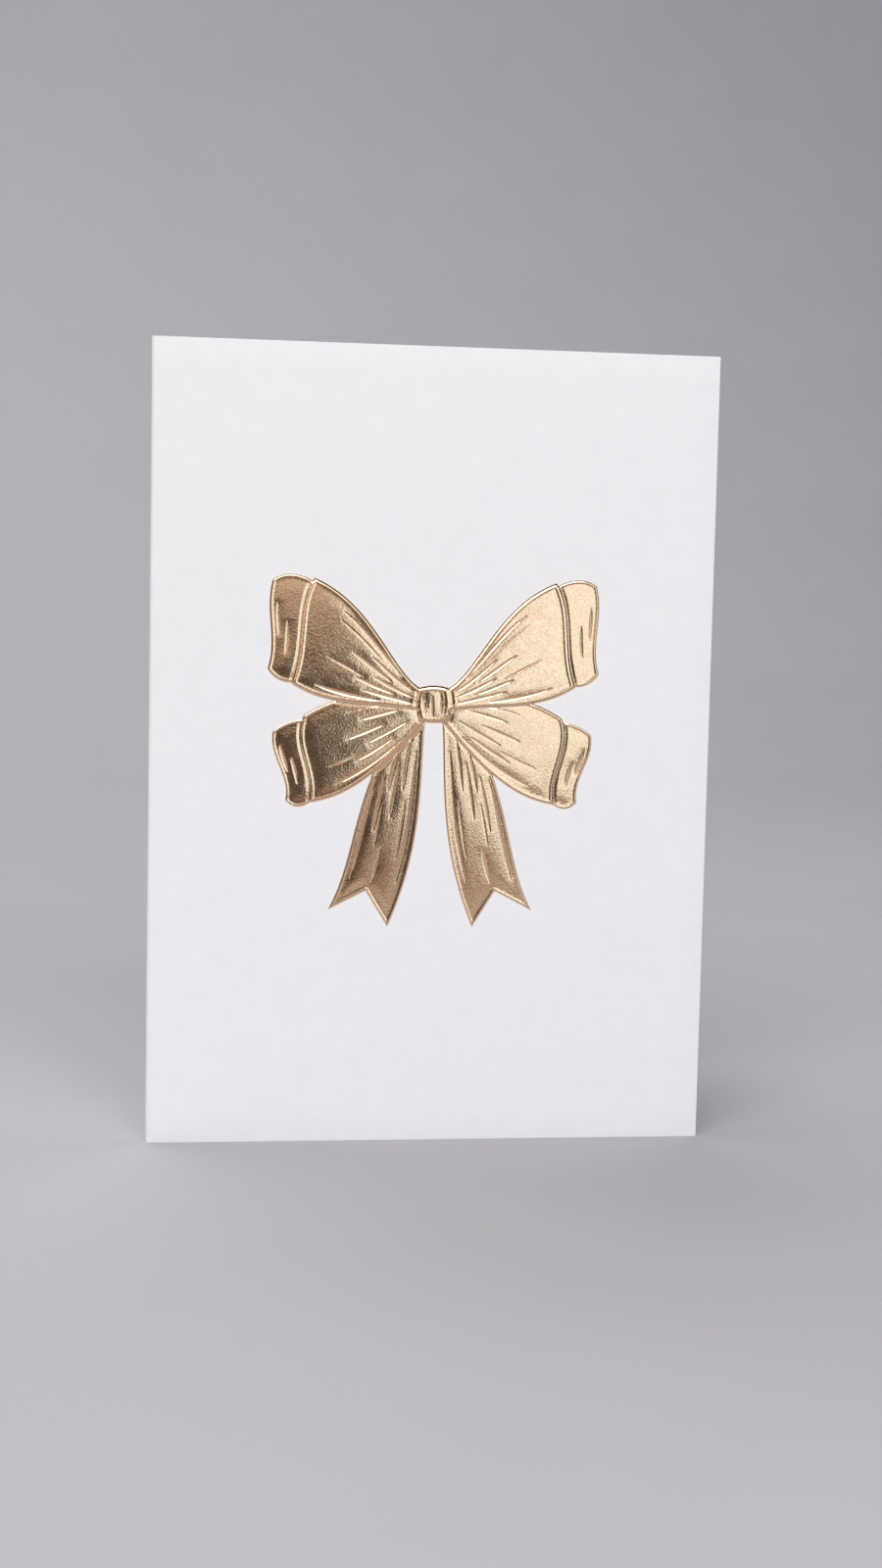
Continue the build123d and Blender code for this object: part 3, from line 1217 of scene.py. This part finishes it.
@dataclass
class GreetingCard:
    """The folded sheet with its embossed bow, and the foil film on the bow, in millimetres."""

    sheet: FoldedSheet
    bow: BowRelief
    bow_height: float = 82.5
    # Heights of the film's two faces above the board, the lower one a hair clear of it.
    film_top: float = 0.030
    film_under: float = 0.004
    # Coarse points keep this far from the crease and the bow.
    crease_clearance: float = 2.0
    bow_clearance: float = 2.5
    board_finish: CalenderedBoard = field(default_factory=CalenderedBoard)
    edge_finish: GuillotinedEdge = field(default_factory=GuillotinedEdge)
    foil_finish: HotStampedFoil = field(default_factory=HotStampedFoil)

    def from_knot(self, points: np.ndarray) -> np.ndarray:
        """Unrolled places as distances from the knot's centre."""
        return points - (0.0, self.bow_height)

    def skin(self, reverse: bool) -> Skin:
        """Triangulates one face of the sheet, fine over the bow and coarse elsewhere.

        Args:
            reverse: whether this is the inner face.

        Returns:
            The skin in unrolled places.
        """
        border = self.sheet.border()
        count = len(border)
        drawn, drawn_runs = self.bow.drawing_points(reverse)
        points = [border, drawn + (0.0, self.bow_height)]
        runs = [(k, (k + 1) % count) for k in range(count)]
        runs += [(a + count, b + count) for a, b in drawn_runs]
        total = count + len(drawn)
        foot, head = border[:, 1].min(), border[:, 1].max()
        rows = self.sheet.crease_rows
        heights = np.linspace(foot, head, rows + 2)[1:-1]
        for column in self.sheet.columns():
            points.append(np.column_stack((np.full(rows, column), heights)))
            first, last = (int(np.argmin(np.hypot(*(border - (column, end)).T))) for end in (foot, head))
            chain = [first, *range(total, total + rows), last]
            runs += list(zip(chain[:-1], chain[1:]))
            total += rows
        points.append(self.plain_field(border))
        return triangulate(np.concatenate(points), runs, count)

    def plain_field(self, border: np.ndarray) -> np.ndarray:
        """Coarse points over the bare parts of both leaves.

        Args:
            border: the closed row round the face.

        Returns:
            Rows of u and z, clear of the bow, the crease and the border.
        """
        step = self.sheet.field_step
        columns, rows = (
            np.linspace(low, high, round((high - low) / step) + 1)[1:-1]
            for low, high in zip(border.min(0), border.max(0))
        )
        u, z = np.meshgrid(columns, rows)
        points = np.column_stack((u.ravel(), z.ravel()))
        crease = self.sheet.columns()
        on_front = points[:, 0] > crease.max() + self.crease_clearance
        on_back = points[:, 0] < crease.min() - self.crease_clearance
        off_bow = self.bow.clear_of(self.bow.ribbons, self.from_knot(points), self.bow_clearance)
        return points[(on_front | on_back) & off_bow]

    def build_board(self, front: Skin, front_lift: np.ndarray) -> bpy.types.Object:
        """Makes the folded sheet: two skins joined by softly rounded cut edges.

        Args:
            front: the outer face.
            front_lift: relief at each of its points.

        Returns:
            The sheet's object.
        """
        back = self.skin(True)
        outer = self.sheet.place(front.points, 0.0, front_lift)
        inner = self.sheet.place(back.points, 1.0, self.bow.height(self.from_knot(back.points), True))
        rings = self.sheet.cut_rings(front.points[front.border])
        first = len(outer) + len(inner)
        chain = [front.border]
        chain += [first + k * len(ring) + np.arange(len(ring)) for k, ring in enumerate(rings)]
        chain.append(back.border + len(outer))
        cut = np.concatenate([band(*pair) for pair in zip(chain[:-1], chain[1:])])
        faces = np.concatenate((front.triangles, back.triangles[:, ::-1] + len(outer), cut))
        board = mesh_object("folded_board", np.concatenate((outer, inner, *rings)), faces)
        board.data.materials.append(self.board_finish.material())
        board.data.materials.append(self.edge_finish.material())
        slots = np.zeros(len(board.data.polygons), int)
        slots[-len(cut):] = 1
        board.data.polygons.foreach_set("material_index", slots)
        return board

    def build_foil(self, front: Skin, front_lift: np.ndarray) -> bpy.types.Object:
        """Makes the foil film: a closed shell over the raised bow.

        Args:
            front: the sheet's outer face.
            front_lift: relief at each of its points.

        Returns:
            The film's object.
        """
        centres = front.points[front.triangles].mean(axis=1)
        covered = front.triangles[self.bow.covers(self.from_knot(centres))]
        used, renamed = np.unique(covered, return_inverse=True)
        faces = renamed.reshape(-1, 3)
        count = len(used)
        top = self.sheet.place(front.points[used], 0.0, front_lift[used] + self.film_top)
        under = self.sheet.place(front.points[used], 0.0, front_lift[used] + self.film_under)
        sides = np.concatenate((faces[:, [0, 1]], faces[:, [1, 2]], faces[:, [2, 0]]))
        pairs = {tuple(side) for side in sides.tolist()}
        rim = np.array([side for side in pairs if side[::-1] not in pairs])
        a, b = rim.T
        wall = (np.column_stack((a, a + count, b)), np.column_stack((b, a + count, b + count)))
        shell = np.concatenate((faces, faces[:, ::-1] + count, *wall))
        foil = mesh_object("bow_film", np.concatenate((top, under)), shell)
        foil.data.materials.append(self.foil_finish.material())
        return foil

    def build(self) -> list[bpy.types.Object]:
        """Makes both pieces and rides them on the frame's body.

        Returns:
            The board and the film.
        """
        front = self.skin(False)
        front_lift = self.bow.height(self.from_knot(front.points), False)
        board = self.build_board(front, front_lift)
        foil = self.build_foil(front, front_lift)
        for piece, node, slot in ((board, "folded_card", "card_stock"), (foil, "bow_foil", "gold_foil")):
            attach(piece, "root")
            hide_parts(node)
        return [board, foil]


@dataclass(frozen=True)
class Softbox:
    """One rectangular soft lamp, in metres, which the camera doesn't see.

    Its radiance is how bright its face looks, 1 being white. It is turned to the card or faces straight back.
    """

    name: str
    place: Place
    size: tuple[float, float]
    radiance: float
    tint: str = "#FFFFFF"
    turned: bool = True
    card_middle: Place = (0.0, 0.0, 0.08)

    def build(self) -> None:
        """Adds the lamp to the scene."""
        lamp = bpy.data.lights.new(self.name, "AREA")
        lamp.shape = "RECTANGLE"
        lamp.size, lamp.size_y = self.size
        lamp.energy = self.radiance * math.pi * self.size[0] * self.size[1]
        lamp.color = linear(self.tint)[:3]
        aim = self.card_middle if self.turned else (self.place[0], 0.0, self.place[2])
        holder = add_object(self.name, lamp)
        holder.location = self.place
        holder.rotation_euler = (Vector(aim) - Vector(self.place)).to_track_quat("-Z", "Y").to_euler()
        holder.visible_camera = False


@dataclass
class Studio:
    """Pale floor with a swept-up back, soft lamps, and the camera at the photograph's viewing angle.

    The floor is in metres. The card's face, the camera's place and its sensor are in millimetres, its turns
    in degrees, and its focal length in pixels of a frame of the image height.
    """

    face_y: float
    floor_finish: PaintedFloor = field(default_factory=PaintedFloor)
    # The floor ends in front of the card, so that the bow's tails don't mirror it.
    floor_front: float = -0.32
    floor_back: float = 1.30
    floor_half_width: float = 6.50
    sweep_radius: float = 0.60
    sweep_height: float = 1.60
    sweep_steps: int = 12
    room_colour: str = "#FFF4EA"
    room_strength: float = 0.08
    shown_colour: str = "#46413D"
    camera_place: Place = (-48.1, -379.2, 100.9)
    camera_yaw: float = 7.47
    camera_pitch: float = 4.98
    camera_roll: float = 1.22
    focal_pixels: float = 2100.0
    image_height: float = 1600.0
    sensor: float = 36.0
    softboxes: tuple[Softbox, ...] = (
        # What the foil mirrors: a bright panel on its right, dim warm scrims on its left and on its tails,
        # and the unlit room between them, which darkens its lower left loop.
        Softbox("front_right_panel", (0.685, -1.16, 0.665), (1.13, 1.47), 1.35, "#E6F5FF", turned=False),
        Softbox("front_left_scrim", (-0.275, -1.20, 0.51), (0.75, 0.85), 0.60, "#FFEDE4", turned=False),
        Softbox("front_low_scrim", (0.10, -1.20, -0.31), (1.10, 0.40), 0.35, "#FFC8B2", turned=False),
        # What lights the board and the floor: a key above the panels, a strip on the left, a lamp overhead.
        Softbox("front_key_softbox", (-0.25, -1.02, 0.92), (1.40, 0.80), 3.8, "#FFFBFA"),
        Softbox("left_strip_softbox", (-0.68, -1.05, 0.45), (0.30, 1.10), 0.7, "#FFF4EA"),
        Softbox("overhead_softbox", (-0.50, 0.84, 1.36), (1.80, 1.00), 3.0),
    )

    def floor_profile(self) -> list[tuple[float, float]]:
        """Side view of the floor and its sweep.

        Returns:
            Pairs of y and z in metres, from the front edge to the top.
        """
        foot = self.floor_back - self.sweep_radius
        turns = [math.pi / 2 * k / self.sweep_steps for k in range(self.sweep_steps + 1)]
        sweep = [
            (foot + self.sweep_radius * math.sin(turn), self.sweep_radius * (1 - math.cos(turn)))
            for turn in turns
        ]
        return [(self.floor_front, 0.0), *sweep, (self.floor_back, self.sweep_height)]

    def build_floor(self) -> None:
        """Makes the floor and its sweep as one bent surface."""
        profile = self.floor_profile()
        points = [(x, y, z) for y, z in profile for x in (-self.floor_half_width, self.floor_half_width)]
        faces = [(2 * k, 2 * k + 1, 2 * k + 3, 2 * k + 2) for k in range(len(profile) - 1)]
        mesh = bpy.data.meshes.new("studio_floor")
        mesh.from_pydata(points, [], faces)
        mesh.polygons.foreach_set("use_smooth", [True] * len(mesh.polygons))
        mesh.materials.append(self.floor_finish.material())
        floor = add_object("studio_floor", mesh)

    def build_world(self) -> None:
        """Weak even room light, and the unlit room round the studio as the camera, metal and glass see it."""
        world = bpy.data.worlds.new("studio_room")
        world.use_nodes = True
        tree = world.node_tree
        tree.nodes.clear()
        path = add_node(tree, "ShaderNodeLightPath")
        mirrored = add_node(
            tree, "ShaderNodeMath", {"operation": "MAXIMUM"},
            links={0: path.outputs["Is Glossy Ray"], 1: path.outputs["Is Transmission Ray"]},
        )
        seen = add_node(
            tree, "ShaderNodeMath", {"operation": "MAXIMUM"},
            links={0: path.outputs["Is Camera Ray"], 1: mirrored.outputs[0]},
        )
        room = add_node(
            tree, "ShaderNodeBackground",
            values={"Color": linear(self.room_colour), "Strength": self.room_strength},
        )
        shown = add_node(
            tree, "ShaderNodeBackground", values={"Color": linear(self.shown_colour), "Strength": 1.0},
        )
        mixed = add_node(
            tree, "ShaderNodeMixShader",
            links={0: seen.outputs[0], 1: room.outputs[0], 2: shown.outputs[0]},
        )
        add_node(tree, "ShaderNodeOutputWorld", links={"Surface": mixed.outputs[0]})
        bpy.context.scene.world = world

    def build_camera(self) -> None:
        """Places the camera as the photograph's four card corners give it."""
        turns = (self.camera_yaw, self.camera_pitch, self.camera_roll)
        yaw, pitch, roll = (math.radians(turn) for turn in turns)
        forward = Vector((math.sin(yaw) * math.cos(pitch), math.cos(yaw) * math.cos(pitch), -math.sin(pitch)))
        level = Vector((math.cos(yaw), -math.sin(yaw), 0.0))
        right = level * math.cos(roll) + level.cross(forward) * math.sin(roll)
        up = right.cross(forward)
        lens = bpy.data.cameras.new("camera")
        lens.sensor_width = self.sensor
        lens.lens = self.sensor * self.focal_pixels / self.image_height
        lens.clip_start = 0.01
        lens.clip_end = 20.0
        camera = add_object("camera", lens)
        place = Vector(self.camera_place) + Vector((0.0, self.face_y, 0.0))
        facing = Matrix((right, up, -forward)).transposed()
        camera.matrix_world = Matrix.Translation(place * MM) @ facing.to_4x4()
        bpy.context.scene.camera = camera

    def build(self) -> None:
        """Sets up floor, lamps, world and camera."""
        self.build_floor()
        for softbox in self.softboxes:
            softbox.build()
        self.build_world()
        self.build_camera()
        bpy.context.scene.view_settings.view_transform = "Standard"


def main() -> None:
    """Builds the card and its studio."""
    logging.basicConfig(level=logging.INFO, format="%(name)s %(message)s")
    low, high = (np.array(corner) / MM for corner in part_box("folded_card"))
    bow = BowRelief()
    sheet = FoldedSheet(
        leaf_width=high[0] - low[0],
        leaf_height=high[2] - low[2],
        face_y=low[1] + bow.ribbons[-1].level,
    )
    for piece in GreetingCard(sheet, bow).build():
        LOG.info("%s: %d triangles", piece.name, len(piece.data.polygons))
    Studio(face_y=sheet.face_y).build()


if __name__ == "__main__":
    main()
